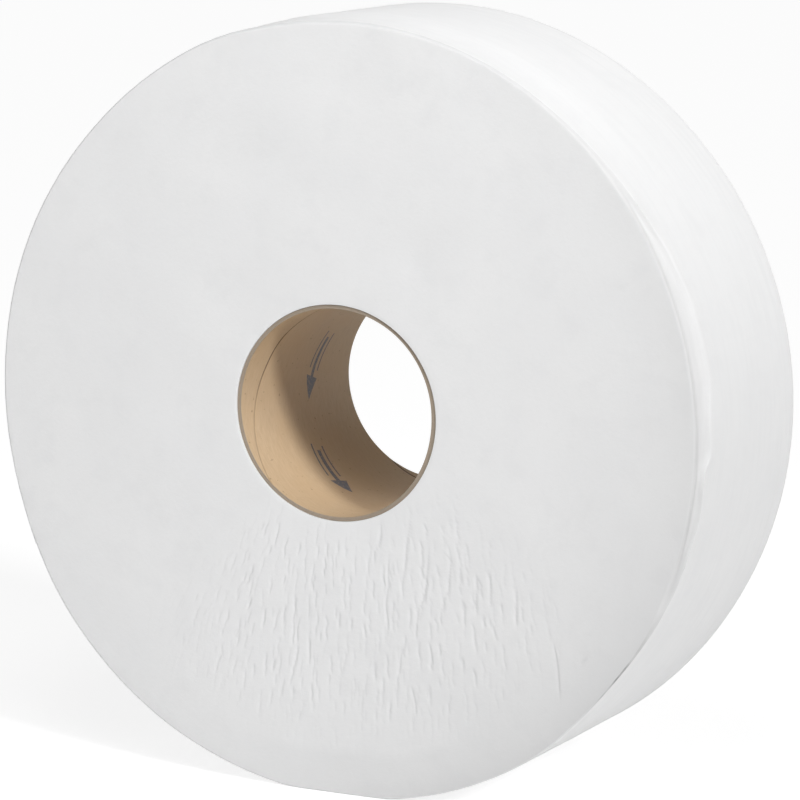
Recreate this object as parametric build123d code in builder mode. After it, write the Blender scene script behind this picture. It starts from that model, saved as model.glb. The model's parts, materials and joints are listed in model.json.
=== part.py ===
"""Jumbo toilet paper roll on its cardboard core, standing on its rim, in millimetres.

The roll's axis is Y, with the front end towards -Y, and Z is up. The origin is on
the axis, halfway along the roll. Angles run anticlockwise as seen from the front,
from +X towards +Z.
"""

from build123d import *
from math import acos, atan2, cos, degrees, radians, sin, sqrt
import os

# Driving dimensions of the roll and its core
roll_radius = 152.5
roll_width = 90.0
core_bore_radius = 41.4
core_wall = 1.6
core_recess = 0.4
core_edge_break = 0.3
winding_clearance = 0.05

# Butt seam of the core's innermost ply, which winds through the bore
seam_pitch = 91.5
seam_width = 0.8
seam_depth = 0.35
seam_front_angle = 227.6
seam_overrun = 3.0

# Loose edge of the last sheet, which stands proud of the turn below it
sheet_step = 0.5
tail_angle = 205.0

# Flat spot that the roll's weight has pressed into the soft paper
flat_depth = 1.4
flat_blend_radius = 80.0

# Soft crowned bevel round both rims: across the end, along the roll, and its curve
rim_inset = 2.2
rim_setback = 4.5
rim_crown_radius = 12.0

# Last turns that have slumped back from the front end, on the right
slump_direction = 13.0
slump_half_span = 24.0
slump_inset = 3.4
slump_setback = 9.0

# Bands of turns that stand proud of both ends, in one spiral from the core outwards
band_pitch = 20.0
band_width = 9.0
band_height = 0.3
band_margin = 3.5
band_start_angle = 160.0

# Sizes that follow from them
core_outer_radius = core_bore_radius + core_wall
core_length = roll_width - 2 * core_recess
paper_bore_radius = core_outer_radius + winding_clearance
end_distance = roll_width / 2 - band_height
tail_radius = roll_radius + sheet_step
flat_height = roll_radius - flat_depth


def direction(angle, length):
    """Point at a distance from the axis, in the plane of the roll's end."""
    return Vector(length * cos(radians(angle)), length * sin(radians(angle)))


def spiral(first_radius, pitch, start_angle, half_turns):
    """Half circles about two centres in turn, which make a spiral of even pitch."""
    far_centre = direction(start_angle, pitch / 2)
    for half_turn in range(half_turns):
        centre = far_centre if half_turn % 2 else Vector(0, 0)
        CenterArc(centre, first_radius + half_turn * pitch / 2, start_angle + 180 * half_turn, 180)


def last_turn():
    """Outline of the paper: a turn with a flat spot below and a step at the loose edge."""
    blend_centre_x = sqrt((roll_radius - flat_blend_radius) ** 2 - (flat_height - flat_blend_radius) ** 2)
    blend_centre_y = flat_blend_radius - flat_height
    blend_angle = degrees(acos(-blend_centre_y / (roll_radius - flat_blend_radius)))
    flat_start = 270 - blend_angle
    flat_end = 270 + blend_angle
    half_way = tail_angle + 180
    CenterArc((0, 0), roll_radius, tail_angle, flat_start - tail_angle)
    CenterArc((-blend_centre_x, blend_centre_y), flat_blend_radius, flat_start, blend_angle)
    Line((-blend_centre_x, -flat_height), (blend_centre_x, -flat_height))
    CenterArc((blend_centre_x, blend_centre_y), flat_blend_radius, 270, blend_angle)
    CenterArc((0, 0), roll_radius, flat_end, half_way - flat_end)
    CenterArc(direction(tail_angle, sheet_step / 2), roll_radius + sheet_step / 2, half_way, 180)
    Line(direction(tail_angle, tail_radius), direction(tail_angle, roll_radius))


# Wound paper
with BuildPart() as paper_roll:
    # All the turns, cut off square at both ends
    with BuildSketch(Plane.XZ):
        with BuildLine():
            last_turn()
        make_face()
        Circle(paper_bore_radius, mode=Mode.SUBTRACT)
    extrude(amount=end_distance, both=True)

    # Crowned bevel round both rims
    bevel_bottom = roll_radius - rim_inset
    bevel_side = end_distance - rim_setback
    with BuildSketch(Plane.YZ):
        with BuildLine():
            Polyline(
                (-end_distance, bevel_bottom),
                (-end_distance, 0),
                (end_distance, 0),
                (end_distance, bevel_bottom),
            )
            RadiusArc((end_distance, bevel_bottom), (bevel_side, tail_radius), -rim_crown_radius)
            Line((bevel_side, tail_radius), (-bevel_side, tail_radius))
            RadiusArc((-bevel_side, tail_radius), (-end_distance, bevel_bottom), -rim_crown_radius)
        make_face()
    revolve(axis=Axis.Y, mode=Mode.INTERSECT)

    # Slumped turns: a cone about an axis off to the left bevels the rim on the right alone
    slump_offset = slump_inset / (1 - cos(radians(slump_half_span)))
    slump_centre = direction(slump_direction + 180, slump_offset)
    slump_edge = roll_radius + slump_offset
    slump_outer_setback = slump_setback * (1 + sheet_step / slump_inset)
    slump_plane = Plane(
        origin=(slump_centre.X, -end_distance, slump_centre.Y),
        x_dir=(0, 1, 0),
        z_dir=(1, 0, 0),
    )
    with BuildSketch(slump_plane):
        with BuildLine():
            Polyline(
                (0, slump_edge - slump_inset),
                (slump_outer_setback, slump_edge + sheet_step),
                (0, slump_edge + sheet_step),
                close=True,
            )
        make_face()
    revolve(axis=Axis((slump_centre.X, 0, slump_centre.Y), (0, 1, 0)), mode=Mode.SUBTRACT)

    # Proud bands of turns, wound outwards from the core on both ends
    band_inner_radius = paper_bore_radius + band_margin
    band_outer_radius = band_inner_radius + band_width
    band_limit = roll_radius - rim_inset - slump_inset - band_margin
    band_half_turns = int((band_limit - band_outer_radius) / (band_pitch / 2))
    band_end_angle = band_start_angle + 180 * band_half_turns
    band_growth = band_pitch * (band_half_turns // 2)
    for end_plane in (Plane.XZ.offset(end_distance), Plane.XZ.offset(-roll_width / 2)):
        with BuildSketch(end_plane):
            with BuildLine():
                spiral(band_inner_radius, band_pitch, band_start_angle, band_half_turns)
                spiral(band_outer_radius, band_pitch, band_start_angle, band_half_turns)
                Line(
                    direction(band_start_angle, band_inner_radius),
                    direction(band_start_angle, band_outer_radius),
                )
                Line(
                    direction(band_end_angle, band_inner_radius + band_growth),
                    direction(band_end_angle, band_outer_radius + band_growth),
                )
            make_face()
        extrude(amount=band_height)

# Line of the ply seam, run past both ends of the core
seam_helix = Helix(
    pitch=seam_pitch,
    height=core_length + 2 * seam_overrun,
    radius=core_bore_radius,
    center=(0, -core_length / 2 - seam_overrun, 0),
    direction=(0, 1, 0),
)
helix_start = seam_helix @ 0
helix_start_angle = degrees(atan2(helix_start.Z, helix_start.X))
seam_start_angle = seam_front_angle + 360 * seam_overrun / seam_pitch
seam_path = seam_helix.rotate(Axis.Y, helix_start_angle - seam_start_angle)

# Cardboard core: a tube inside the innermost turn, a touch short of both ends
with BuildPart() as core_tube:
    with BuildSketch(Plane.XZ):
        Circle(core_outer_radius)
        Circle(core_bore_radius, mode=Mode.SUBTRACT)
    extrude(amount=core_length / 2, both=True)
    end_edges = core_tube.edges().filter_by(GeomType.CIRCLE)
    chamfer(end_edges, length=core_edge_break)

    # Groove of the ply seam
    seam_start = seam_path @ 0
    away_from_axis = (seam_start.X, 0, seam_start.Z)
    with BuildSketch(Plane(origin=seam_start, x_dir=away_from_axis, z_dir=seam_path % 0)):
        Rectangle(2 * seam_depth, seam_width)
    sweep(path=seam_path, is_frenet=True, mode=Mode.SUBTRACT)

os.makedirs("parts", exist_ok=True)

paper_roll.part.label = "paper_roll"
export_step(paper_roll.part, "parts/paper_roll.step")

core_tube.part.label = "core_tube"
export_step(core_tube.part, "parts/core_tube.step")
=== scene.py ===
"""Jumbo toilet paper roll: the finish of its wound tissue and of its cardboard core.

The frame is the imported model's, in metres: the roll's axis is Y with the front end
towards -Y, Z is up, and the origin is on the axis, halfway along the roll. Angles
run anticlockwise as seen from the front, from +X towards +Z, in degrees.
"""

import json
import math

import bpy
import numpy as np
from mathutils import Matrix, Vector


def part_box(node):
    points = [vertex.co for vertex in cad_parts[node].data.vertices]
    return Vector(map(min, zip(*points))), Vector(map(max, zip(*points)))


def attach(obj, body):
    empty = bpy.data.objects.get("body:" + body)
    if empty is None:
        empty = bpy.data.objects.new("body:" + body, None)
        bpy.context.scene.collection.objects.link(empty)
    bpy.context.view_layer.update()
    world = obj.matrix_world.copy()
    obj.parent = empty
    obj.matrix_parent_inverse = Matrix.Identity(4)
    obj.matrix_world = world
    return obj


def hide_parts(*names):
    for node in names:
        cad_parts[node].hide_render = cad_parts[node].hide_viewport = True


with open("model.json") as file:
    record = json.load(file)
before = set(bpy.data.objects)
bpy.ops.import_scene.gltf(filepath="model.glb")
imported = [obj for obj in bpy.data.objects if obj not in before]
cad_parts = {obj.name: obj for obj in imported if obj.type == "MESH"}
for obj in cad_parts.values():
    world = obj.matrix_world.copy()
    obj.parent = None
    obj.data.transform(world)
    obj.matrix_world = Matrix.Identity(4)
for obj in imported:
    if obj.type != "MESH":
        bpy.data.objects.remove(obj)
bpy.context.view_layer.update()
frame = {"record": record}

MM = 0.001

# Sizes read from the frame
paper_low, paper_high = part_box("paper_roll")
_, core_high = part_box("core_tube")
bore_mount = next(m for m in frame["record"]["mounts"] if m["name"] == "core_bore")
ROLL_RADIUS = paper_high.x
HALF_WIDTH = paper_high.y
FLAT_HEIGHT = -paper_low.z
CORE_OUTER = core_high.x
CORE_INNER = bore_mount["dims"]["r_mm"] * MM
CORE_HALF_LENGTH = core_high.y
PAPER_CLEARANCE = 0.05 * MM
PAPER_BORE = CORE_OUTER + PAPER_CLEARANCE

# Camera: where the photograph was taken from, in roll radii from the front end's centre
VIEW_AZIMUTH = math.radians(27.53)
VIEW_ELEVATION = math.radians(9.68)
CAMERA_OFFSET = (4.5640, -8.4021, 1.6657)
PHOTO_PX = 800
FOCAL_PX = 3843.0
SENSOR_MM = 36.0
CLIP_NEAR = 0.05
CLIP_FAR = 50.0

# Light: a key from the upper right, two soft lamps above the front, weaker ones behind the
# bore, over the top and on the floor under the right side, and an even sky
KEY_DIRECTION = (0.77, -0.40, 0.49)
KEY_STRENGTH = 2.10
KEY_ANGLE = math.radians(9.0)
# Round lamps that face the origin: name, place, diameter, power
SOFT_LAMPS = (
    ("near_lamp", (0.15, -0.55, 0.75), 0.50, 2.70),
    ("high_lamp", (0.25, -0.55, 1.1), 0.50, 2.75),
    ("back_lamp", (0.15, 0.60, -0.03), 0.20, 0.3),
    ("top_lamp", (-0.10, 0.12, 0.30), 0.10, 0.05),
)
# Lamp that shines upwards from just above the floor
LOW_LAMP_PLACE = (0.110, 0.022)
LOW_LAMP_HEIGHT = 1 * MM
LOW_LAMP_SIZE = (0.025, 0.060)
LOW_LAMP_POWER = 0.0025
SKY_STRENGTH = 0.09
# Floor: its grey under the light, and the grey and the glow that the camera sees
FLOOR_SIZE = 60.0
FLOOR_GREY = 0.9
FLOOR_SEEN_GREY = 0.3
FLOOR_SEEN_GLOW = 0.84

# Last turn of the tissue and its loose edge
SHEET_THICKNESS = 0.25 * MM
TAIL_ANGLE = 205.0
FLAT_SOFTNESS = 0.8 * MM
# Where the soft roll is out of round: angle, half width in degrees, height
OUT_OF_ROUND = (5.0, 28.0, 0.8 * MM)
# The last turn's outline at the front end: angle, and millimetres off a true circle. It is
# smoothed by a mean over some turns to both sides, and fades out along the roll over a reach
FRONT_OUTLINE = (
    (-110, 0.0), (-56, 0.0), (-48, -1.5), (-42, -2.2), (-36, -2.0), (-28, -0.8), (-20, 0.0),
    (34, 0.0), (50, -1.4), (78, -1.5), (87, -1.6), (96, -1.7), (104, -1.2), (110, -0.5),
    (122, -1.3), (134, -1.75), (146, -1.3), (160, -1.0), (180, -1.1), (200, -1.2), (207, -0.3),
    (214, 0.3), (226, 0.35), (238, 0.3),
)
OUTLINE_TURNS = (-4, -2, 0, 2, 4)
FRONT_OUTLINE_REACH = 25 * MM
# The core and the paper round it are a little wider than high
CORE_OVALITY = 0.0168
# They are squeezed in a little on the right: angle, half width, and share of the radius at
# the wall's inside and outside
CORE_SQUEEZE_ANGLE = -8.0
CORE_SQUEEZE_SPAN = 34.0
CORE_SQUEEZE_INNER = 0.022
CORE_SQUEEZE_OUTER = 0.008
# The paper's skin reaches a little way into the bore, and dips right beside it
BORE_LIP = 6 * MM
BORE_DIP_DEPTH = 0.1 * MM
BORE_DIP_WIDTH = 0.5 * MM

# Rims: across the end and along the roll, softer at the front
RIM_INSET = 3.0 * MM
RIM_SETBACK = 2.2 * MM
RIM_FULLNESS = 1.45
# Profile of the slumped stretch, as shares of the way outwards and of the way back: a
# soft corner, the turns below the outermost, and the soft step up to these
SLUMPED_PROFILE = (
    (0.10, 0.010), (0.21, 0.035), (0.32, 0.08), (0.40, 0.15), (0.45, 0.27), (0.50, 0.42),
    (0.56, 0.58), (0.64, 0.70), (0.75, 0.80), (0.88, 0.90), (1.0, 1.0),
)
# Size of the front rim by angle, as a share of the two sizes above
RIM_SHARES = (
    (-180, 0.2), (-90, 0.15), (-40, 0.18), (-32, 0.3), (-22, 1.0), (34, 1.0), (50, 0.45),
    (100, 0.42), (125, 0.2),
)
# Painted shade of a gap beside the outermost sheet, low on the right, as a dark line: angle,
# half width, share of the light that the colour loses, and the first rim row past it. The line
# is broken: mean strength, how far it varies, and the turn between one break and the next
GAP_PAINTED_SHADE = (-36.8, 5.6, 0.40)
GAP_ROW_END = 7
GAP_BREAKS = (0.7, 0.5, 0.8)
GAP_SEED = 14
# Painted shade on the side behind the rim at the upper right: angle, half width, share of lost light
SIDE_PAINTED_SHADE = (58.0, 36.0, 0.05)
# Stretch of the rim where the painted slope shade is taken back out of the colour: angle, half width
CRISP_RIM = (-66.0, 30.0)
BACK_RIM_INSET = 0.6 * MM
BACK_RIM_SETBACK = 1.0 * MM

# Edge of the outermost sheet where it has slumped back from the front end, on the
# right: angle, and distance behind the end in millimetres
SLUMPED_EDGE = (
    (-24, 2.0), (-15, 2.4), (-11, 5.4), (-6, 3.4), (-3.5, 4.2), (-1.5, 8.2), (2.3, 7.4),
    (6.5, 8.8), (10.5, 10.2), (15.5, 8.8), (20, 9.6), (25, 6.6), (29, 5.8), (33, 2.6),
    (38, 2.2), (44, 2.2),
)
# The edge wanders: by how many millimetres, turn between its bends, seed; least where it
# lies less than a full depth behind the end
EDGE_WANDER = ((0.5, 2.2, 5), (0.3, 0.9, 6))
FULL_WANDER_DEPTH = 2.2
# Stretch where the turns have slumped, and how softly it begins and ends
SLUMP_START = -18.0
SLUMP_END = 36.0
SLUMP_FADE = 5.0

# Broad forms of the front end: angle, half width in degrees, distance in from the rim
# where the form starts, and its height at the rim
END_FORMS = (
    (8.0, 26.0, 28.0 * MM, 0.9 * MM),
    (-58.0, 38.0, 50.0 * MM, -1.8 * MM),
)
# Slack waves of the front end, the side and the back end: height, length along both
# directions, shift of the noise along both, seed
END_WAVES = ((0.20 * MM, 34 * MM, 30 * MM, 40, 40, 1), (0.06 * MM, 12 * MM, 12 * MM, 60, 60, 2))
SIDE_WAVES = ((0.12 * MM, 40 * MM, 24 * MM, 50, 50, 3), (0.05 * MM, 9 * MM, 30 * MM, 90, 50, 4))
BACK_WAVES = ((0.30 * MM, 34 * MM, 30 * MM, 40, 40, 8),)
# Soft hollows of the front end: x, z, radius and depth
HOLLOWS = (
    (8.0 * MM, 128.0 * MM, 12.0 * MM, 0.22 * MM),
    (34.0 * MM, 64.0 * MM, 9.0 * MM, 0.30 * MM),
    (-46.0 * MM, 45.0 * MM, 11.0 * MM, 0.20 * MM),
    (74.0 * MM, 92.0 * MM, 10.0 * MM, 0.18 * MM),
    (-116.0 * MM, -8.0 * MM, 15.0 * MM, 0.25 * MM),
)

# Longest creases below the core, each a line of (x, z) in millimetres
LONG_CREASES = (
    ((33, -34), (32, -43), (31, -50), (30, -59), (29, -65), (30, -73)),
    ((41, -46), (40, -57), (39, -67), (36, -74), (35, -86)),
    ((20, -39), (20, -46), (19, -50), (17, -53), (17, -59)),
    ((24, -50), (23, -58), (23, -66), (22, -73), (23, -81), (22, -91)),
    ((29, -88), (28, -101)),
    ((33, -103), (35, -111), (35, -117)),
    ((46, -49), (50, -53), (49, -65), (47, -69), (47, -77)),
    ((56, -68), (56, -79)),
    ((61, -56), (61, -75)),
    ((66, -54), (67, -61), (67, -71)),
    ((78, -59), (78, -77)),
    ((93, -78), (95, -89), (96, -104)),
    ((106, -82), (106, -88)),
)
LONG_CREASE_DEPTH = 0.17 * MM
# Small creases, spread evenly over a fan below the core: reach from the axis and angle
# from straight down, the gap between them, and how much they stray from an even spread
CREASE_REACHES = (49.0 * MM, 142.0 * MM)
CREASE_ANGLES = (-50.0, 68.0)
CREASE_ROW_GAP = 7.0 * MM
CREASE_GAP = 4.2 * MM
CREASE_STRAY = 0.45
CREASE_SEED = 41
# Least and greatest length; least, most frequent and greatest depth, in millimetres
CREASE_LENGTHS = (4.0, 13.0)
CREASE_DEPTHS = (0.02, 0.08, 0.20)
# How they lean on the left, as a share of their angle, and on the right, as a share and a
# turn; how far the lean varies, and how far a line of some points sways, as a share of it
LEAN_LEFT = 0.6
LEAN_RIGHT = (0.25, -6.0)
LEAN_SPREAD = 4.0
CREASE_SWAY = 0.03
CREASE_POINTS = 7
# How softly the fan ends: before and behind its inner reach, at its outer reach, at both sides
FAN_INNER_FADE = (12 * MM, 14 * MM)
FAN_OUTER_FADE = 34 * MM
FAN_LEFT_FADE = 24.0
FAN_RIGHT_FADE = 26.0
# Each crease is a valley with a gentle flank on its left and a steep one on its right; painted
# shade darkens the colour along the bottom of a deep one, and of a shallower one less
CREASE_GENTLE = 0.85 * MM
CREASE_STEEP = 0.30 * MM
CREASE_VALLEY = 0.28 * MM
CREASE_MARGIN = 3.0 * CREASE_GENTLE
# Share of its length over which each end of a crease fades out
CREASE_END_FADE = 0.25
# Painted shade in the creases' valleys, and the crease depth that gets all of it
CREASE_PAINTED_SHADE = 0.11
FULL_PAINTED_SHADE_DEPTH = 0.25 * MM

# Painted shade towards the rim, darker on the lower right: angle, half width in degrees,
# distance from the rim over which it fades, share of the light that the colour loses at the rim
RIM_PAINTED_SHADE = ((-54.0, 62.0, 40.0 * MM, 0.165), (-58.0, 30.0, 7.0 * MM, 0.05))
# Painted shade on the slumped stretch of the rim, strongest at the front end's edge
SLUMP_PAINTED_SHADE = 0.07
# Painted shade at the bottom, darker outside a soft step towards the rim: angle, half width,
# inset and softness of the step, share of the light that the colour loses
BOTTOM_STEP_PAINTED_SHADE = (-86.0, 22.0, 17.0 * MM, 3.0 * MM, 0.04)

# Butt seam of the core's innermost ply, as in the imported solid
SEAM_FRONT_ANGLE = 227.6
SEAM_PITCH = 91.5 * MM
SEAM_DEPTH = 0.3 * MM
SEAM_HALF_WIDTH = 0.4 * MM
# It strays forwards from its helix over a stretch: millimetres, and the angles where the
# stray starts to grow, is full, starts to shrink and is gone
SEAM_STRAY = -2.6
SEAM_STRAY_ANGLES = (28.0, 70.0, 140.0, 165.0)
# Dark line in the seam, partly a dark joint and partly painted shade: distance from its middle,
# in millimetres, where it starts to fade and where it ends. Its painted shade grows with the
# height over the axis, and with the distance from the front end in millimetres
SEAM_LINE = (0.25, 0.60)
# Strength of the line as a dark joint alone, and with all its painted shade
SEAM_JOINT_ONLY = 0.3
SEAM_JOINT_AND_SHADE = 1.0
# Heights and depths over which the painted shade grows
SEAM_SHADE_HEIGHTS = (-2 * MM, 14 * MM)
SEAM_SHADE_DEPTHS = (65.0, 78.0)

# Slope of the plies on the unrolled wall
PLY_ANGLE = math.atan2(SEAM_PITCH, 2 * math.pi * CORE_INNER)
PLY_COSINE = math.cos(PLY_ANGLE)
PLY_SINE = math.sin(PLY_ANGLE)
# Ends of the core's wall: broken edges, and the edges of its plies round a shallow recess
CORE_OUTER_BREAK = 0.3 * MM
CORE_INNER_BREAK = 0.25 * MM
WALL_END_RECESS = 0.1 * MM
WALL_END_SHARES = (0.08, 0.92)
PLY_COUNT = 4
PLY_STEP = 0.06 * MM
# Ripples of the core's inside: height, number to a radius, length along it, shift of the
# noise, seed
CORE_RIPPLES = (0.10 * MM, 3, 30 * MM, 20, 11)

# Tissue: colours, and share of painted shade where the surface slopes from end to side
TISSUE_BRIGHT = (0.870, 0.870, 0.870)
TISSUE_DULL = (0.852, 0.853, 0.856)
TISSUE_PATCH = (0.838, 0.839, 0.842)
SLOPE_PAINTED_SHADE = 0.19
# Its patterns: scale, detail and roughness of each noise; for the streaks also how often they
# change along a turn and from turn to turn
TISSUE_CLOUD = (28.0, 4.0)
TISSUE_PATCHES = (75.0, 3.0, 0.6)
TISSUE_GRAIN = (420.0, 3.0, 0.7)
TISSUE_FIBRES = (650.0, 5.0, 0.65)
TISSUE_STREAKS = (1.0, 3.0, 0.6)
STREAKS_PER_TURN_RADIUS = 5.0
STREAKS_PER_METRE = 380.0

# Kraft board: colours, and patterns as above; the streaks are stretched along the plies
KRAFT_PALE = (0.57, 0.43, 0.278)
KRAFT_DARK = (0.50, 0.365, 0.231)
KRAFT_WARM = (0.54, 0.387, 0.231)
KRAFT_SPECK = (0.20, 0.13, 0.08)
KRAFT_SEAM = (0.10, 0.06, 0.035)
KRAFT_END = (0.35, 0.288, 0.225)
KRAFT_CLOUD = (45.0, 4.0)
KRAFT_SPECKS = (620.0, 2.0, 0.4)
KRAFT_STREAKS = (1.0, 4.0, 0.6)
STREAKS_ALONG_PLY = 0.12
STREAKS_ACROSS_PLY = 0.9
# Grey cut ends of the wall: how far in they reach, and how softly they end
KRAFT_END_REACH = 0.45 * MM
KRAFT_END_FADE = 0.2 * MM

# Arrow mark inside the core, repeated along the ply, in millimetres on the unrolled wall
MARK_INK = (0.09, 0.11, 0.16)
MARK_WEAR = (1100.0, 3.0)
MARK_ALONG = -26.8
MARK_ACROSS = 53.1
MARK_PERIOD = 48.2
MARK_FIRST_DEPTH = 22.0
MARK_LAST_ALONG = 45.0
# Its parts: start, end and half width of the shaft; start, tip and spread of the head; start
# and end of the two bars, and the distances of their edges from the middle
ARROW_SHAFT = (-12.0, 6.0, 1.1)
ARROW_HEAD = (5.0, 14.5, 0.48)
ARROW_BARS = (-14.5, 2.0, 3.0, 3.9)

# Rows and columns of the two meshes
ROLL_COLUMN_SPANS = (
    (-155.0, -132.0, 26), (-132.0, -46.0, 480), (-46.0, 90.0, 116), (90.0, 205.0, 40),
)
# Turn of the columns at the bore, so that they run along the creases: angle at the rim
# from straight down, and turn in degrees
COLUMN_TURNS = (
    (-150, 0), (-62, -14), (-40, -13), (-20, -7), (0, 0), (15, 14), (30, 28), (42, 36),
    (62, 34), (90, 22), (135, 0),
)
# Turn between the columns on both sides of the loose edge, and least turn between those of
# the coarsely meshed half
TAIL_GAP = 0.02
BACK_COLUMN_GAP = 1.3
FACE_ROWS = 110
# The rows of the side's front half crowd towards the rim by a power
FRONT_SIDE_ROWS = 10
FRONT_SIDE_POWER = 1.25
BACK_SIDE_ROWS = 10
BACK_RIM_ROWS = 4
BACK_FACE_ROWS = 8
CORE_COLUMNS = 260
CORE_WALL_ROWS = 190
WALL_END_ROWS = 9
# Angles between faces beyond which an edge stays sharp
ROLL_SHARP_ANGLE = 40.0
CORE_SHARP_ANGLE = 50.0


def angle_gap(angle, centre):
    """Signed difference of two angles in degrees, from -180 to 180."""
    return (angle - centre + 180.0) % 360.0 - 180.0


def bump(distance, width):
    """Smooth bump of height 1 that fades out over a width."""
    return np.exp(-(distance / width) ** 2)


def smooth_step(value, start, end):
    """0 before start, 1 after end, smooth between."""
    share = np.clip((value - start) / (end - start), 0.0, 1.0)
    return share * share * (3.0 - 2.0 * share)


def by_angle(angle, table):
    """Value at an angle, between the entries of a table of angles and values."""
    marks = np.array(table)
    return np.interp(angle, marks[:, 0], marks[:, 1], period=360.0)


def soft_noise(u, v, seed):
    """Smooth noise from -1 to 1 with one lattice cell to each unit of u and v."""
    table = np.random.default_rng(seed).uniform(-1.0, 1.0, (256, 256))
    u, v = np.broadcast_arrays(u, v)
    column = np.floor(u).astype(int)
    row = np.floor(v).astype(int)
    across = smooth_step(u - column, 0.0, 1.0)
    down = smooth_step(v - row, 0.0, 1.0)

    def along_row(number):
        here = table[column % 256, number % 256]
        beside = table[(column + 1) % 256, number % 256]
        return here * (1 - across) + beside * across

    return along_row(row) * (1 - down) + along_row(row + 1) * down


def waves(u, v, table):
    """Height of several smooth waves together."""
    return sum(
        height * soft_noise(u / length_u + shift_u, v / length_v + shift_v, seed)
        for height, length_u, length_v, shift_u, shift_v, seed in table
    )


def point_numbers(points, first=0):
    """Numbers of a grid of points, counted from a first one."""
    rows, columns = points.shape[:2]
    return np.arange(rows * columns).reshape(rows, columns) + first


def strip_faces(index):
    """Quads between the rows of point numbers in a grid whose columns run all the way round."""
    beside = np.roll(index, -1, axis=1)
    return np.stack([index[:-1], index[1:], beside[1:], beside[:-1]], axis=-1).reshape(-1, 4).tolist()


def junction_faces(fine, coarse, places, outwards):
    """Faces between a row with every column and a row with the columns at some places only."""
    faces = []
    ends = list(places[1:]) + [len(fine)]
    for number, (start, end) in enumerate(zip(places, ends)):
        run = [int(fine[place % len(fine)]) for place in range(start, end + 1)]
        here = int(coarse[number])
        beside = int(coarse[(number + 1) % len(coarse)])
        faces.append([here, beside] + run[::-1] if outwards else [here] + run + [beside])
    return faces


def row_points(rows):
    """Points of rows that are given by angle, distance from the axis and place along it."""
    points = []
    for angle, r, y in rows:
        around = np.radians(angle)
        points.append(np.stack([r * np.cos(around), y, r * np.sin(around)], axis=-1))
    return np.stack(points)


def add_mesh(name, points, faces, sharp_angle):
    """Smooth piece made of points and faces, with sharp edges beyond an angle in degrees."""
    mesh = bpy.data.meshes.new(name)
    mesh.from_pydata(points.tolist(), [], faces)
    mesh.validate()
    mesh.shade_smooth()
    mesh.set_sharp_from_angle(angle=math.radians(sharp_angle))
    piece = bpy.data.objects.new(name, mesh)
    bpy.context.scene.collection.objects.link(piece)
    return piece


# Camera
def add_camera():
    """Camera in the place from which the photograph was taken."""
    data = bpy.data.cameras.new("camera")
    data.lens = FOCAL_PX * SENSOR_MM / PHOTO_PX
    data.sensor_width = SENSOR_MM
    data.clip_start = CLIP_NEAR
    data.clip_end = CLIP_FAR
    camera = bpy.data.objects.new("camera", data)
    bpy.context.scene.collection.objects.link(camera)
    bpy.context.scene.camera = camera
    right = Vector((math.cos(VIEW_AZIMUTH), math.sin(VIEW_AZIMUTH), 0.0))
    back = Vector((
        math.sin(VIEW_AZIMUTH) * math.cos(VIEW_ELEVATION),
        -math.cos(VIEW_AZIMUTH) * math.cos(VIEW_ELEVATION),
        math.sin(VIEW_ELEVATION),
    ))
    place = Vector((0.0, -HALF_WIDTH, 0.0)) + ROLL_RADIUS * Vector(CAMERA_OFFSET)
    turn = Matrix((right, back.cross(right), back)).transposed()
    camera.matrix_world = Matrix.Translation(place) @ turn.to_4x4()


# Light and surroundings
def feed(tree, socket, value):
    """Give a node's input a value: another node's output, a number or a colour."""
    if isinstance(value, bpy.types.NodeSocket):
        tree.links.new(value, socket)
    else:
        socket.default_value = value


def join(tree, operation, *values):
    """Math node whose inputs are sockets or numbers; returns its output."""
    node = tree.nodes.new("ShaderNodeMath")
    node.operation = operation
    for socket, value in zip(node.inputs, values):
        feed(tree, socket, value)
    return node.outputs[0]


def seen_directly(tree):
    """1 for the rays that show a surface to the camera, also by way of gloss or glass."""
    path = tree.nodes.new("ShaderNodeLightPath")
    seen = join(tree, "MAXIMUM", path.outputs["Is Camera Ray"], path.outputs["Is Glossy Ray"])
    return join(tree, "MAXIMUM", seen, path.outputs["Is Transmission Ray"])


def show_directly(tree, unseen, seen, output):
    """Give one shader to the rays that seen_directly names, and another to the rest."""
    mix = tree.nodes.new("ShaderNodeMixShader")
    for socket, source in zip(mix.inputs, (seen_directly(tree), unseen, seen)):
        tree.links.new(source, socket)
    tree.links.new(mix.outputs[0], output.inputs["Surface"])


def grey_shader(tree, kind, grey):
    """Shader node in one even grey."""
    node = tree.nodes.new(kind)
    node.inputs["Color"].default_value = (grey, grey, grey, 1)
    return node


def add_sky():
    """Even weak light from all sides; white to the camera."""
    world = bpy.data.worlds.new("studio")
    world.use_nodes = True
    bpy.context.scene.world = world
    tree = world.node_tree
    tree.nodes.clear()
    sky = grey_shader(tree, "ShaderNodeBackground", 1)
    sky.inputs["Strength"].default_value = SKY_STRENGTH
    white = grey_shader(tree, "ShaderNodeBackground", 1)
    output = tree.nodes.new("ShaderNodeOutputWorld")
    show_directly(tree, sky.outputs[0], white.outputs[0], output)


def add_lamp(name, kind, direction, place=(0, 0, 0)):
    """Lamp that sends its light against a direction, and that the camera doesn't see."""
    data = bpy.data.lights.new(name, kind)
    lamp = bpy.data.objects.new(name, data)
    bpy.context.scene.collection.objects.link(lamp)
    lamp.location = place
    lamp.rotation_euler = Vector(direction).to_track_quat("Z", "Y").to_euler()
    lamp.visible_camera = False
    return data


def add_lamps():
    key = add_lamp("key", "SUN", KEY_DIRECTION)
    key.energy = KEY_STRENGTH
    key.angle = KEY_ANGLE
    for name, place, diameter, power in SOFT_LAMPS:
        lamp = add_lamp(name, "AREA", place, place)
        lamp.shape = "DISK"
        lamp.size = diameter
        lamp.energy = power
    low = add_lamp("low_lamp", "AREA", (0, 0, -1), (*LOW_LAMP_PLACE, LOW_LAMP_HEIGHT - FLAT_HEIGHT))
    low.shape = "RECTANGLE"
    low.size, low.size_y = LOW_LAMP_SIZE
    low.energy = LOW_LAMP_POWER


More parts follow.
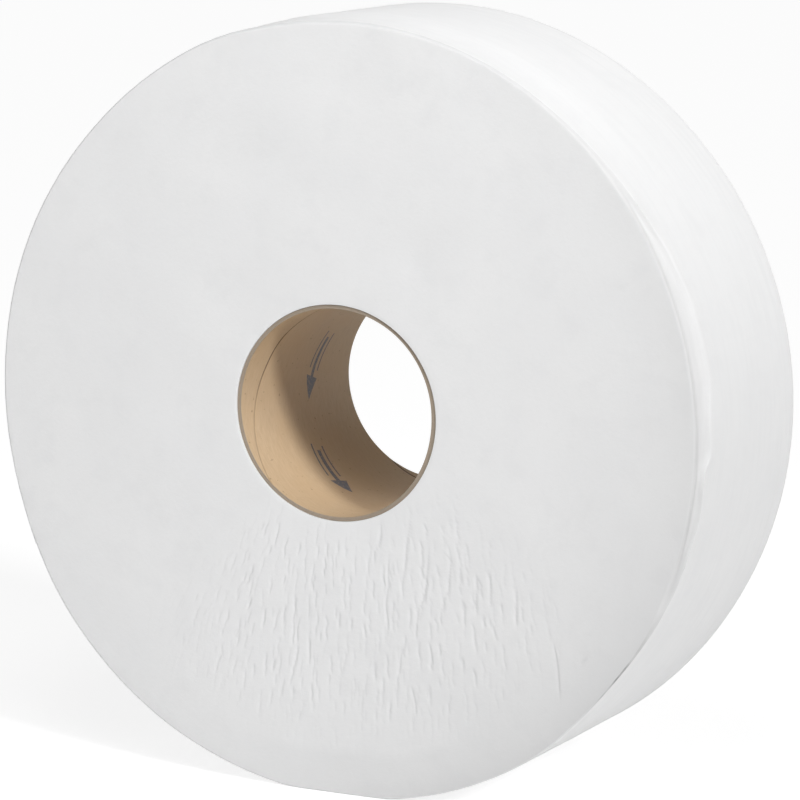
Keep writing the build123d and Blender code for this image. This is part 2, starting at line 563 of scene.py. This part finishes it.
def add_floor():
    """Pale floor: white to the camera apart from the roll's own shadow."""
    bpy.ops.mesh.primitive_plane_add(size=FLOOR_SIZE, location=(0, 0, -FLAT_HEIGHT))
    floor = bpy.context.object
    floor.name = "floor"
    material = bpy.data.materials.new("floor_white")
    material.use_nodes = True
    tree = material.node_tree
    tree.nodes.clear()
    lit = grey_shader(tree, "ShaderNodeBsdfDiffuse", FLOOR_GREY)
    seen_lit = grey_shader(tree, "ShaderNodeBsdfDiffuse", FLOOR_SEEN_GREY)
    glow = grey_shader(tree, "ShaderNodeEmission", 1)
    glow.inputs["Strength"].default_value = FLOOR_SEEN_GLOW
    both = tree.nodes.new("ShaderNodeAddShader")
    tree.links.new(seen_lit.outputs[0], both.inputs[0])
    tree.links.new(glow.outputs[0], both.inputs[1])
    output = tree.nodes.new("ShaderNodeOutputMaterial")
    show_directly(tree, lit.outputs[0], both.outputs[0], output)
    floor.data.materials.append(material)


# Wound tissue
def roll_columns():
    """Angle of each column of the roll's mesh, closest together over the creases.

    The first and the last column lie together at the loose edge and make its step.
    """
    spans = [np.linspace(start, end, count, endpoint=False) for start, end, count in ROLL_COLUMN_SPANS]
    angles = np.concatenate(spans + [[TAIL_ANGLE]])
    angles[0] += TAIL_GAP / 2
    angles[-1] -= TAIL_GAP / 2
    return angles


def back_columns(angle):
    """Columns that the coarsely meshed half keeps, at least BACK_COLUMN_GAP degrees apart."""
    kept = [0]
    for number in range(1, len(angle) - 1):
        if angle[number] - angle[kept[-1]] >= BACK_COLUMN_GAP:
            kept.append(number)
    return kept + [len(angle) - 1]


def column_angle(angle, share):
    """Angle of the columns at a share of the way from the bore to the rim."""
    return angle + (1 - share) * by_angle(angle_gap(angle, -90.0), COLUMN_TURNS)


def paper_bore(angle):
    """Distance of the innermost turn from the axis, at the bore's end of the columns."""
    return PAPER_BORE * core_shape(column_angle(angle, 0), CORE_SQUEEZE_OUTER)


def front_share(y):
    """1 at the front end, fading to 0 where the front end's outline no longer counts."""
    return 1 - smooth_step(y, -HALF_WIDTH, -HALF_WIDTH + FRONT_OUTLINE_REACH)


def last_turn(angle, y):
    """Distance of the last turn from the axis, at a place along the roll."""
    turned = (angle - TAIL_ANGLE) % 360.0 / 360.0
    centre, half_width, height = OUT_OF_ROUND
    radius = ROLL_RADIUS + SHEET_THICKNESS * turned + height * bump(angle_gap(angle, centre), half_width)
    outline = sum(by_angle(angle + turn, FRONT_OUTLINE) for turn in OUTLINE_TURNS) / len(OUTLINE_TURNS)
    radius = radius + outline * front_share(y) * MM
    below = np.radians(np.clip(angle_gap(angle, -90.0), -60.0, 60.0))
    flat = FLAT_HEIGHT / np.cos(below)
    blend = np.clip(0.5 + 0.5 * (flat - radius) / FLAT_SOFTNESS, 0.0, 1.0)
    return flat * (1 - blend) + radius * blend - FLAT_SOFTNESS * blend * (1 - blend)


def sheet_edge(angle):
    """How far behind the front end the outermost sheet begins."""
    gap = angle_gap(angle, 0.0)
    slumped = (gap >= SLUMPED_EDGE[0][0]) & (gap <= SLUMPED_EDGE[-1][0])
    plain = RIM_SETBACK / MM * by_angle(angle, RIM_SHARES)
    depth = np.where(slumped, by_angle(gap, SLUMPED_EDGE), plain)
    wander = sum(size * soft_noise(gap / turn, 0, seed) for size, turn, seed in EDGE_WANDER)
    return (depth + wander * np.minimum(depth / FULL_WANDER_DEPTH, 1.0)) * MM


def small_creases():
    """Short creases in rows below the core: the line of each on the front end, and its depth."""
    draw = np.random.default_rng(CREASE_SEED)
    creases = []
    low_reach, high_reach = CREASE_REACHES
    low_angle, high_angle = CREASE_ANGLES
    for row, reach in enumerate(np.arange(low_reach, high_reach, CREASE_ROW_GAP)):
        gap = math.degrees(CREASE_GAP / reach)
        for start in np.arange(low_angle, high_angle, gap):
            angle = start + gap * (row % 2 / 2 + draw.uniform(-CREASE_STRAY, CREASE_STRAY))
            middle = reach + CREASE_ROW_GAP * draw.uniform(-CREASE_STRAY, CREASE_STRAY)
            length = draw.uniform(*CREASE_LENGTHS) * MM
            depth = draw.triangular(*CREASE_DEPTHS) * MM * crease_share(angle, middle)
            creases.append((crease_line(draw, angle, middle, length), depth))
    return creases


def crease_share(angle, reach):
    """How deep the creases are at a place, from 0 at the border of the fan to 1 in its middle."""
    low_reach, high_reach = CREASE_REACHES
    low_angle, high_angle = CREASE_ANGLES
    inner = smooth_step(reach, low_reach - FAN_INNER_FADE[0], low_reach + FAN_INNER_FADE[1])
    outer = smooth_step(-reach, -high_reach, -high_reach + FAN_OUTER_FADE)
    left = smooth_step(angle, low_angle, low_angle + FAN_LEFT_FADE)
    right = smooth_step(-angle, -high_angle, -high_angle + FAN_RIGHT_FADE)
    return inner * outer * left * right


def crease_line(draw, angle, reach, length):
    """Slightly wavy line about a place; creases lean less than the fan spreads."""
    plain_lean = LEAN_LEFT * angle if angle < 0 else LEAN_RIGHT[0] * angle + LEAN_RIGHT[1]
    lean = plain_lean + draw.normal(0.0, LEAN_SPREAD)
    down = np.array([math.sin(math.radians(angle)), -math.cos(math.radians(angle))])
    along = np.array([math.sin(math.radians(lean)), -math.cos(math.radians(lean))])
    across = np.array([along[1], -along[0]])
    share = np.linspace(-0.5, 0.5, CREASE_POINTS)[:, None]
    sway = draw.normal(0.0, CREASE_SWAY, CREASE_POINTS)[:, None]
    return reach * down + length * (share * along + sway * across)


def along_line(line, x, z):
    """Distance of points from a line, how far they lie to its right, and share of its length."""
    nearest = np.full(x.shape, np.inf)
    to_right = np.zeros(x.shape)
    travelled = np.zeros(x.shape)
    runs = np.diff(line, axis=0)
    lengths = np.linalg.norm(runs, axis=1)
    passed = np.concatenate([[0.0], np.cumsum(lengths)])
    for start, run, before, length in zip(line, runs, passed, lengths):
        share = np.clip(((x - start[0]) * run[0] + (z - start[1]) * run[1]) / length ** 2, 0.0, 1.0)
        off_x = x - start[0] - run[0] * share
        off_z = z - start[1] - run[1] * share
        distance = np.hypot(off_x, off_z)
        closer = distance < nearest
        nearest = np.where(closer, distance, nearest)
        to_right = np.where(closer, off_x, to_right)
        travelled = np.where(closer, before + share * length, travelled)
    return nearest, to_right, travelled / passed[-1]


def press_crease(height, painted_shade, x, z, line, depth):
    """Press one crease into the front end, and paint shade into the colour along the bottom of its
    valley.
    """
    low = line.min(axis=0) - CREASE_MARGIN
    high = line.max(axis=0) + CREASE_MARGIN
    near = np.nonzero((x > low[0]) & (x < high[0]) & (z > low[1]) & (z < high[1]))
    distance, to_right, along = along_line(line, x[near], z[near])
    fade = smooth_step(along, 0.0, CREASE_END_FADE) * smooth_step(1.0 - along, 0.0, CREASE_END_FADE)
    flank = np.where(to_right < 0, CREASE_GENTLE, CREASE_STEEP)
    height[near] -= depth * fade * bump(distance, flank)
    painted_valley_shade = bump(distance, CREASE_VALLEY) * fade * depth / FULL_PAINTED_SHADE_DEPTH
    painted_shade[near] = np.maximum(painted_shade[near], CREASE_PAINTED_SHADE * painted_valley_shade)


def end_relief(x, z, inset):
    """Height of the front end; inset is the distance from the rim."""
    angle = np.degrees(np.arctan2(z, x))
    height = waves(x, z, END_WAVES)
    for centre, half_width, reach, rise in END_FORMS:
        share = np.clip(1.0 - inset / reach, 0.0, 1.0)
        height += rise * share ** 2 * bump(angle_gap(angle, centre), half_width)
    for centre_x, centre_z, radius, depth in HOLLOWS:
        height -= depth * bump(np.hypot(x - centre_x, z - centre_z), radius)
    return height


def press_creases(height, painted_shade, x, z):
    """Press all creases into the front end, the longest first, with their painted shade."""
    for line in LONG_CREASES:
        press_crease(height, painted_shade, x, z, np.array(line) * MM, LONG_CREASE_DEPTH)
    for line, depth in small_creases():
        press_crease(height, painted_shade, x, z, line, depth)


def painted_rim_shade(x, z, inset):
    """Painted shade towards the rim, and a painted step of shade at the bottom."""
    angle = np.degrees(np.arctan2(z, x))
    painted_shade = np.zeros_like(x)
    for centre, half_width, reach, loss in RIM_PAINTED_SHADE:
        painted_shade += loss * bump(angle_gap(angle, centre), half_width) * np.exp(-inset / reach)
    centre, half_width, step_inset, softness, loss = BOTTOM_STEP_PAINTED_SHADE
    step_share = smooth_step(-inset, -step_inset - softness, -step_inset + softness)
    return painted_shade + loss * step_share * bump(angle_gap(angle, centre), half_width)


def side_relief(angle, y):
    """Extra radius of the last turn: its slack waves."""
    return waves(np.radians(angle) * ROLL_RADIUS, y, SIDE_WAVES)


def slumped_share(angle):
    """1 where the outermost turns have slumped back from the front end, 0 elsewhere."""
    gap = angle_gap(angle, 0.0)
    begun = smooth_step(gap, SLUMP_START - SLUMP_FADE, SLUMP_START + SLUMP_FADE)
    return begun * smooth_step(-gap, -SLUMP_END - SLUMP_FADE, -SLUMP_END + SLUMP_FADE)


def painted_gap_shade(angle):
    """Painted shade of the broken dark line in the gap beside the outermost sheet."""
    centre, half_width, loss = GAP_PAINTED_SHADE
    mean, change, turn = GAP_BREAKS
    broken = mean + change * soft_noise(angle_gap(angle, 0.0) / turn, 0, GAP_SEED)
    return loss * bump(angle_gap(angle, centre), half_width) * broken


def rim_rows(angle, end_radius, radius, rim_height, side_start):
    """Rim between the front end and the side, with the slumped turns on the right, and its painted
    shade.
    """
    slumped = slumped_share(angle)
    end_y = -HALF_WIDTH - rim_height
    rows = []
    shades = []
    turns = np.linspace(0.0, math.pi / 2, len(SLUMPED_PROFILE) + 1)[1:]
    for turn, (low_out, low_back) in zip(turns, SLUMPED_PROFILE):
        plain_out = math.sin(turn) ** (2 / RIM_FULLNESS)
        plain_back = 1 - max(math.cos(turn), 0.0) ** (2 / RIM_FULLNESS)
        outwards = plain_out + (low_out - plain_out) * slumped
        backwards = plain_back + (low_back - plain_back) * slumped
        r = end_radius + (radius - end_radius) * outwards
        rows.append((angle, r, end_y + (side_start - end_y) * backwards))
        # Painted shade of the slumped stretch
        shades.append(SLUMP_PAINTED_SHADE * slumped * (1 - backwards))
    # Take the painted slope shade back out where the rim is crisp
    slope_shade_taken_back = -SLOPE_PAINTED_SHADE * bump(angle_gap(angle, CRISP_RIM[0]), CRISP_RIM[1]) * (1 - slumped)
    shades = [painted_shade + slope_shade_taken_back for painted_shade in shades]
    # Painted shade of the gap's line on the first rim rows
    for number in range(GAP_ROW_END):
        shades[number] = shades[number] + painted_gap_shade(angle)
    return rows, shades


def face_rows(angle, radius, end_radius):
    """Rows of the front end, from the bore to the rim, their painted shade, and the height of the last
    one.
    """
    bore = paper_bore(angle)
    share = np.linspace(0.0, 1.0, FACE_ROWS)[:, None]
    r = bore + (end_radius - bore) * share
    turned = column_angle(angle, share)
    around = np.radians(turned)
    x = r * np.cos(around)
    z = r * np.sin(around)
    height = end_relief(x, z, radius - r)
    painted_shade = np.zeros_like(height)
    press_creases(height, painted_shade, x, z)
    painted_shade += painted_rim_shade(x, z, radius - r)
    height -= BORE_DIP_DEPTH * bump(r - bore, BORE_DIP_WIDTH)
    return list(zip(turned, r, -HALF_WIDTH - height)), list(painted_shade), height[-1]


def front_rows(angle):
    """Rows of the finely meshed half, from just inside the bore to the middle of the side, and their
    painted shade.
    """
    radius = last_turn(angle, -HALF_WIDTH)
    end_radius = radius - RIM_INSET * by_angle(angle, RIM_SHARES)
    bore = paper_bore(angle)
    rows = [(column_angle(angle, 0), bore, np.full_like(bore, -HALF_WIDTH + BORE_LIP))]
    shades = [np.zeros_like(bore)]
    face, face_shades, rim_height = face_rows(angle, radius, end_radius)
    rows += face
    shades += face_shades

    # Rim: its painted shade runs from the front end's into the side's
    start = -HALF_WIDTH - rim_height * (1 - slumped_share(angle)) + sheet_edge(angle)
    rim, rim_shades = rim_rows(angle, end_radius, radius, rim_height, start)
    rows += rim
    centre, half_width, loss = SIDE_PAINTED_SHADE
    painted_side_shade = loss * bump(angle_gap(angle, centre), half_width)
    for number, rim_shade in enumerate(rim_shades, 1):
        passed = number / len(rim)
        shades.append(rim_shade + face_shades[-1] * (1 - passed) + painted_side_shade * passed)

    # Side
    for share in np.linspace(0.0, 1.0, FRONT_SIDE_ROWS + 1)[1:]:
        y = start * (1 - share ** FRONT_SIDE_POWER)
        rows.append((angle, last_turn(angle, y - start - HALF_WIDTH) + side_relief(angle, y) * share, y))
        shades.append(painted_side_shade * front_share(y))
    return rows, shades


def back_rows(angle):
    """Rows of the coarsely meshed half, from the side to just inside the bore."""
    radius = last_turn(angle, HALF_WIDTH)
    bore = paper_bore(angle)
    rows = []
    back_edge = HALF_WIDTH - BACK_RIM_SETBACK
    for y in np.linspace(0.0, back_edge, BACK_SIDE_ROWS + 1)[1:]:
        rows.append((angle, radius + side_relief(angle, y), np.full_like(radius, y)))
    relief = side_relief(angle, back_edge)
    for turn in np.linspace(0.0, math.pi / 2, BACK_RIM_ROWS + 1)[1:]:
        r = radius + relief * math.cos(turn) - BACK_RIM_INSET * (1 - math.cos(turn))
        rows.append((angle, r, np.full_like(r, back_edge + BACK_RIM_SETBACK * math.sin(turn))))
    back_radius = radius - BACK_RIM_INSET
    for share in np.linspace(1.0, 0.0, BACK_FACE_ROWS + 1)[1:]:
        r = bore + (back_radius - bore) * share
        turned = column_angle(angle, share)
        x = r * np.cos(np.radians(turned))
        z = r * np.sin(np.radians(turned))
        rows.append((turned, r, HALF_WIDTH + waves(x, z, BACK_WAVES) * math.sin(math.pi * share)))
    rows.append((column_angle(angle, 0), bore, np.full_like(bore, HALF_WIDTH - BORE_LIP)))
    return rows


def build_roll():
    """Closed skin of the wound paper: front end, rim, side, back rim, back end and bore."""
    angle = roll_columns()
    rows, shades = front_rows(angle)
    points = row_points(rows)
    places = back_columns(angle)
    back_points = row_points(back_rows(angle[places]))

    front_index = point_numbers(points)
    back_index = point_numbers(back_points, front_index.size)
    faces = strip_faces(front_index) + strip_faces(back_index)
    faces += junction_faces(front_index[-1], back_index[0], places, True)
    faces += junction_faces(front_index[0], back_index[-1], places, False)
    all_points = np.concatenate([points.reshape(-1, 3), back_points.reshape(-1, 3)])
    roll = add_mesh("wound_tissue", all_points, faces, ROLL_SHARP_ANGLE)
    # Painted shade for the tissue's colour, kept on each point
    painted_shade = np.concatenate([np.stack(shades).ravel(), np.zeros(back_index.size)])
    layer = roll.data.attributes.new("painted_shade", "FLOAT", "POINT")
    layer.data.foreach_set("value", painted_shade.astype(np.float32))
    return roll


# Cardboard core
def core_shape(angle, squeeze):
    """Share by which the core's radius departs from round, by angle."""
    oval = 1 + CORE_OVALITY * np.cos(2 * np.radians(angle))
    return oval - squeeze * bump(angle_gap(angle, CORE_SQUEEZE_ANGLE), CORE_SQUEEZE_SPAN)


def seam_stray(angle):
    """How far the seam lies behind its helix, in millimetres."""
    grow, full, shrink, gone = SEAM_STRAY_ANGLES
    turned = angle % 360.0
    return SEAM_STRAY * smooth_step(turned, grow, full) * (1 - smooth_step(turned, shrink, gone))


def wall_radius(angle, y, inner):
    """Distance of the core's inside from the axis, with the seam's groove and ripples."""
    front_depth = (SEAM_FRONT_ANGLE - angle) % 360.0 / 360.0 * SEAM_PITCH + seam_stray(angle) * MM
    off = (y + CORE_HALF_LENGTH - front_depth + SEAM_PITCH / 2) % SEAM_PITCH - SEAM_PITCH / 2
    groove = SEAM_DEPTH * bump(off, SEAM_HALF_WIDTH)
    height, count, length, shift, seed = CORE_RIPPLES
    across = count * np.cos(np.radians(angle)) + shift
    down = count * np.sin(np.radians(angle)) + shift + y / length
    return inner + groove + height * soft_noise(across, down, seed)


def build_core():
    """Cardboard tube: wall ends with the edges of its plies, and the seam groove inside."""
    angle = np.linspace(0.0, 360.0, CORE_COLUMNS, endpoint=False)
    inner = CORE_INNER * core_shape(angle, CORE_SQUEEZE_INNER)
    outer = CORE_OUTER * core_shape(angle, CORE_SQUEEZE_OUTER)
    rows = []

    def add_row(r, y):
        rows.append((angle, r, np.full_like(angle, y)))

    def add_wall_end(y, inwards, shares):
        for share in shares:
            ply_edge = PLY_STEP * math.cos(2 * math.pi * PLY_COUNT * share)
            add_row(inner + (outer - inner) * share, y + inwards * (WALL_END_RECESS + ply_edge))

    shares = np.linspace(*WALL_END_SHARES, WALL_END_ROWS)
    add_wall_end(-CORE_HALF_LENGTH, 1, shares)
    add_row(outer, -CORE_HALF_LENGTH + CORE_OUTER_BREAK)
    add_row(outer, CORE_HALF_LENGTH - CORE_OUTER_BREAK)
    add_wall_end(CORE_HALF_LENGTH, -1, shares[::-1])
    wall_end = CORE_HALF_LENGTH - CORE_INNER_BREAK
    for y in np.linspace(wall_end, -wall_end, CORE_WALL_ROWS):
        add_row(wall_radius(angle, y, inner), y)
    points = row_points(rows)
    index = point_numbers(points)
    faces = strip_faces(np.concatenate([index, index[:1]]))
    return add_mesh("cardboard_core", points.reshape(-1, 3), faces, CORE_SHARP_ANGLE)


# Materials
def new_material(name, roughness, specular):
    """Material with its node tree and its shader."""
    material = bpy.data.materials.new(name)
    material.use_nodes = True
    tree = material.node_tree
    shader = tree.nodes["Principled BSDF"]
    shader.inputs["Roughness"].default_value = roughness
    shader.inputs["Specular IOR Level"].default_value = specular
    return material, tree, shader


def object_place(tree):
    """Place of a point of the piece, as one socket and as X, Y and Z."""
    place = tree.nodes.new("ShaderNodeTexCoord")
    split = tree.nodes.new("ShaderNodeSeparateXYZ")
    tree.links.new(place.outputs["Object"], split.inputs[0])
    return place.outputs["Object"], *split.outputs


def vector(tree, x, y, z):
    node = tree.nodes.new("ShaderNodeCombineXYZ")
    for socket, value in zip(node.inputs, (x, y, z)):
        tree.links.new(value, socket)
    return node.outputs[0]


def noise(tree, place, scale, detail, roughness=0.5):
    node = tree.nodes.new("ShaderNodeTexNoise")
    node.inputs["Scale"].default_value = scale
    node.inputs["Detail"].default_value = detail
    node.inputs["Roughness"].default_value = roughness
    tree.links.new(place, node.inputs["Vector"])
    return node.outputs["Fac"]


def ramp(tree, value, start, end, low=0.0, high=1.0, curve="LINEAR"):
    """Map a value from start..end to low..high, held at both ends."""
    node = tree.nodes.new("ShaderNodeMapRange")
    node.interpolation_type = curve
    tree.links.new(value, node.inputs["Value"])
    for name, number in (("From Min", start), ("From Max", end), ("To Min", low), ("To Max", high)):
        node.inputs[name].default_value = number
    return node.outputs["Result"]


def mix_colour(tree, share, first, second):
    """Mix two colours, each a socket or (red, green, blue), by a share."""
    node = tree.nodes.new("ShaderNodeMix")
    node.data_type = "RGBA"
    tree.links.new(share, node.inputs["Factor"])
    for name, value in (("A", first), ("B", second)):
        feed(tree, node.inputs[name], (*value, 1) if isinstance(value, tuple) else value)
    return node.outputs["Result"]


def add_bump(tree, height, strength, distance, below=None):
    """Bump of a height, on top of another bump if one is given."""
    node = tree.nodes.new("ShaderNodeBump")
    node.inputs["Strength"].default_value = strength
    node.inputs["Distance"].default_value = distance
    tree.links.new(height, node.inputs["Height"])
    if below is not None:
        tree.links.new(below, node.inputs["Normal"])
    return node.outputs["Normal"]


def turn_streaks(tree, x, y, z):
    """Noise in streaks that follow the turns, on the ends and on the side."""
    squares = join(tree, "ADD", join(tree, "MULTIPLY", x, x), join(tree, "MULTIPLY", z, z))
    distance = join(tree, "SQRT", squares)
    turn_x = join(tree, "MULTIPLY", join(tree, "DIVIDE", x, distance), STREAKS_PER_TURN_RADIUS)
    turn_z = join(tree, "MULTIPLY", join(tree, "DIVIDE", z, distance), STREAKS_PER_TURN_RADIUS)
    level = join(tree, "MULTIPLY", join(tree, "ADD", distance, y), STREAKS_PER_METRE)
    return noise(tree, vector(tree, turn_x, turn_z, level), *TISSUE_STREAKS)


def facing(tree):
    """How far a surface faces along the roll, as its ends do, and how far away from the axis."""
    geometry = tree.nodes.new("ShaderNodeNewGeometry")
    split = tree.nodes.new("ShaderNodeSeparateXYZ")
    tree.links.new(geometry.outputs["Normal"], split.inputs[0])
    endways = join(tree, "MULTIPLY", split.outputs["Y"], split.outputs["Y"])
    return endways, join(tree, "SUBTRACT", 1.0, endways)


def tissue_material():
    """White crepe tissue: fine fibres, streaks that follow the turns, and painted shade."""
    material, tree, shader = new_material("tissue", roughness=0.95, specular=0.15)
    place, x, y, z = object_place(tree)
    streaks = turn_streaks(tree, x, y, z)
    endways, sideways = facing(tree)
    cloud = ramp(tree, noise(tree, place, *TISSUE_CLOUD), 0.3, 0.7)
    colour = mix_colour(tree, cloud, TISSUE_DULL, TISSUE_BRIGHT)
    patches = ramp(tree, noise(tree, place, *TISSUE_PATCHES), 0.52, 0.76)
    colour = mix_colour(tree, patches, colour, TISSUE_PATCH)
    grain = ramp(tree, noise(tree, place, *TISSUE_GRAIN), 0.55, 0.75, 0.0, 0.5)
    colour = mix_colour(tree, grain, colour, TISSUE_PATCH)
    near_back = ramp(tree, y, 15 * MM, 42 * MM, 0.8, 1.7)
    side_share = join(tree, "MULTIPLY", sideways, near_back)
    side_streaks = join(tree, "MULTIPLY", ramp(tree, streaks, 0.45, 0.70), side_share)
    colour = mix_colour(tree, side_streaks, colour, TISSUE_PATCH)

    # Painted shade from the slope between end and side, and from the roll's points
    painted_slope_shade = ramp(tree, join(tree, "MULTIPLY", endways, sideways), 0.0, 0.25, 0.0, SLOPE_PAINTED_SHADE)
    painted_shade_layer = tree.nodes.new("ShaderNodeAttribute")
    painted_shade_layer.attribute_name = "painted_shade"
    painted_shade_total = join(tree, "ADD", painted_slope_shade, painted_shade_layer.outputs["Fac"])
    colour = mix_colour(tree, painted_shade_total, colour, (0, 0, 0))
    tree.links.new(colour, shader.inputs["Base Color"])
    fibre_bump = add_bump(tree, noise(tree, place, *TISSUE_FIBRES), 0.25, 0.25 * MM)
    tree.links.new(add_bump(tree, streaks, 0.12, 0.18 * MM, fibre_bump), shader.inputs["Normal"])
    return material


def unrolled_place(tree, x, y, z):
    """Arc and depth on the unrolled wall, and the place along and across its plies, in millimetres."""
    flip_x = join(tree, "MULTIPLY", x, -1.0)
    flip_z = join(tree, "MULTIPLY", z, -1.0)
    arc = join(tree, "MULTIPLY", join(tree, "ARCTAN2", flip_z, flip_x), CORE_INNER / MM)
    depth = join(tree, "MULTIPLY", join(tree, "ADD", y, CORE_HALF_LENGTH), 1 / MM)
    arc_along = join(tree, "MULTIPLY", arc, PLY_COSINE)
    arc_across = join(tree, "MULTIPLY", arc, PLY_SINE)
    along = join(tree, "SUBTRACT", arc_along, join(tree, "MULTIPLY", depth, PLY_SINE))
    across = join(tree, "ADD", arc_across, join(tree, "MULTIPLY", depth, PLY_COSINE))
    return arc, depth, along, across


def unrolled_arc(angle):
    """Arc on the unrolled wall, in millimetres, at an angle."""
    return math.radians(angle - 180.0) * CORE_INNER / MM


def seam_line(tree, arc, depth, across, z):
    """Strength of the dark line in the seam of the innermost ply, with painted shade that grows with
    height and depth.
    """
    turn = 2 * math.pi * CORE_INNER / MM * PLY_SINE
    first_turn = unrolled_arc(SEAM_FRONT_ANGLE) * PLY_SINE
    grow, full, shrink, gone = [unrolled_arc(angle) for angle in SEAM_STRAY_ANGLES]
    grown = ramp(tree, arc, grow, full, curve="SMOOTHSTEP")
    shrunk = ramp(tree, arc, shrink, gone, curve="SMOOTHSTEP")
    stray = join(tree, "MULTIPLY", grown, join(tree, "SUBTRACT", 1.0, shrunk))
    unstrayed = join(tree, "SUBTRACT", across, join(tree, "MULTIPLY", stray, SEAM_STRAY * PLY_COSINE))
    offs = [
        join(tree, "ABSOLUTE", join(tree, "SUBTRACT", unstrayed, seam))
        for seam in (first_turn, first_turn + turn)
    ]
    shaded_above = ramp(tree, z, *SEAM_SHADE_HEIGHTS, SEAM_JOINT_ONLY, SEAM_JOINT_AND_SHADE)
    shaded_deep = ramp(tree, depth, *SEAM_SHADE_DEPTHS, SEAM_JOINT_ONLY, SEAM_JOINT_AND_SHADE)
    seam_painted_shade = join(tree, "MAXIMUM", shaded_above, shaded_deep)
    line = ramp(tree, join(tree, "MINIMUM", *offs), *SEAM_LINE, 1.0, 0.0)
    return join(tree, "MULTIPLY", line, seam_painted_shade)


def mark_ink(tree, place, depth, along, across):
    """Strength of the worn ink of the arrow mark, repeated along the ply."""
    mark_along = join(tree, "SUBTRACT", along, MARK_ALONG)
    place_in_mark = join(tree, "WRAP", mark_along, MARK_PERIOD / 2, -MARK_PERIOD / 2)
    ink = arrow_mark(tree, place_in_mark, join(tree, "SUBTRACT", across, MARK_ACROSS))
    ink = join(tree, "MULTIPLY", ink, join(tree, "GREATER_THAN", depth, MARK_FIRST_DEPTH))
    ink = join(tree, "MULTIPLY", ink, join(tree, "LESS_THAN", along, MARK_LAST_ALONG))
    worn = ramp(tree, noise(tree, place, *MARK_WEAR), 0.25, 0.55, 0.55, 0.9)
    return join(tree, "MULTIPLY", ink, worn)


def kraft_material():
    """Brown kraft board: fibres and specks along the plies, a generic arrow mark, grey wall ends."""
    material, tree, shader = new_material("kraft_board", roughness=0.62, specular=0.3)
    place, x, y, z = object_place(tree)
    arc, depth, along, across = unrolled_place(tree, x, y, z)

    # Paper: pale and dark fibres, cloudy tone, dark specks
    stretched_along = join(tree, "MULTIPLY", along, STREAKS_ALONG_PLY)
    stretched_across = join(tree, "MULTIPLY", across, STREAKS_ACROSS_PLY)
    streaks = noise(tree, vector(tree, stretched_along, stretched_across, depth), *KRAFT_STREAKS)
    colour = mix_colour(tree, ramp(tree, streaks, 0.3, 0.7), KRAFT_DARK, KRAFT_PALE)
    cloud = ramp(tree, noise(tree, place, *KRAFT_CLOUD), 0.35, 0.7, 0.0, 0.7)
    colour = mix_colour(tree, cloud, colour, KRAFT_WARM)
    specks = ramp(tree, noise(tree, place, *KRAFT_SPECKS), 0.70, 0.76, 0.0, 0.55)
    colour = mix_colour(tree, specks, colour, KRAFT_SPECK)

    # Seam, mark and grey cut ends
    colour = mix_colour(tree, seam_line(tree, arc, depth, across, z), colour, KRAFT_SEAM)
    colour = mix_colour(tree, mark_ink(tree, place, depth, along, across), colour, MARK_INK)
    from_end = join(tree, "SUBTRACT", join(tree, "ABSOLUTE", y), CORE_HALF_LENGTH - KRAFT_END_REACH)
    colour = mix_colour(tree, ramp(tree, from_end, 0.0, KRAFT_END_FADE), colour, KRAFT_END)
    tree.links.new(colour, shader.inputs["Base Color"])
    tree.links.new(add_bump(tree, streaks, 0.2, 0.15 * MM), shader.inputs["Normal"])
    return material


def arrow_mark(tree, along, across):
    """1 inside a plain arrow between two bars, 0 outside."""
    off = join(tree, "ABSOLUTE", across)

    def band(value, start, end):
        above = join(tree, "GREATER_THAN", value, start)
        return join(tree, "MULTIPLY", above, join(tree, "LESS_THAN", value, end))

    shaft_start, shaft_end, shaft_half_width = ARROW_SHAFT
    in_shaft = join(tree, "LESS_THAN", off, shaft_half_width)
    shaft = join(tree, "MULTIPLY", band(along, shaft_start, shaft_end), in_shaft)
    head_start, tip, spread = ARROW_HEAD
    head_half_width = join(tree, "MULTIPLY", join(tree, "SUBTRACT", tip, along), spread)
    in_head = join(tree, "LESS_THAN", off, head_half_width)
    head = join(tree, "MULTIPLY", band(along, head_start, tip), in_head)
    bars_start, bars_end, near_edge, far_edge = ARROW_BARS
    bars = join(tree, "MULTIPLY", band(along, bars_start, bars_end), band(off, near_edge, far_edge))
    return join(tree, "MAXIMUM", join(tree, "MAXIMUM", shaft, head), bars)


def dress(piece, material, node):
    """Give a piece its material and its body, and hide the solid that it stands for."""
    piece.data.materials.append(material)
    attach(piece, "root")
    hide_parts(node)


bpy.context.scene.view_settings.view_transform = "Standard"
add_camera()
add_sky()
add_lamps()
add_floor()
roll = build_roll()
core = build_core()
dress(roll, tissue_material(), "paper_roll")
dress(core, kraft_material(), "core_tube")
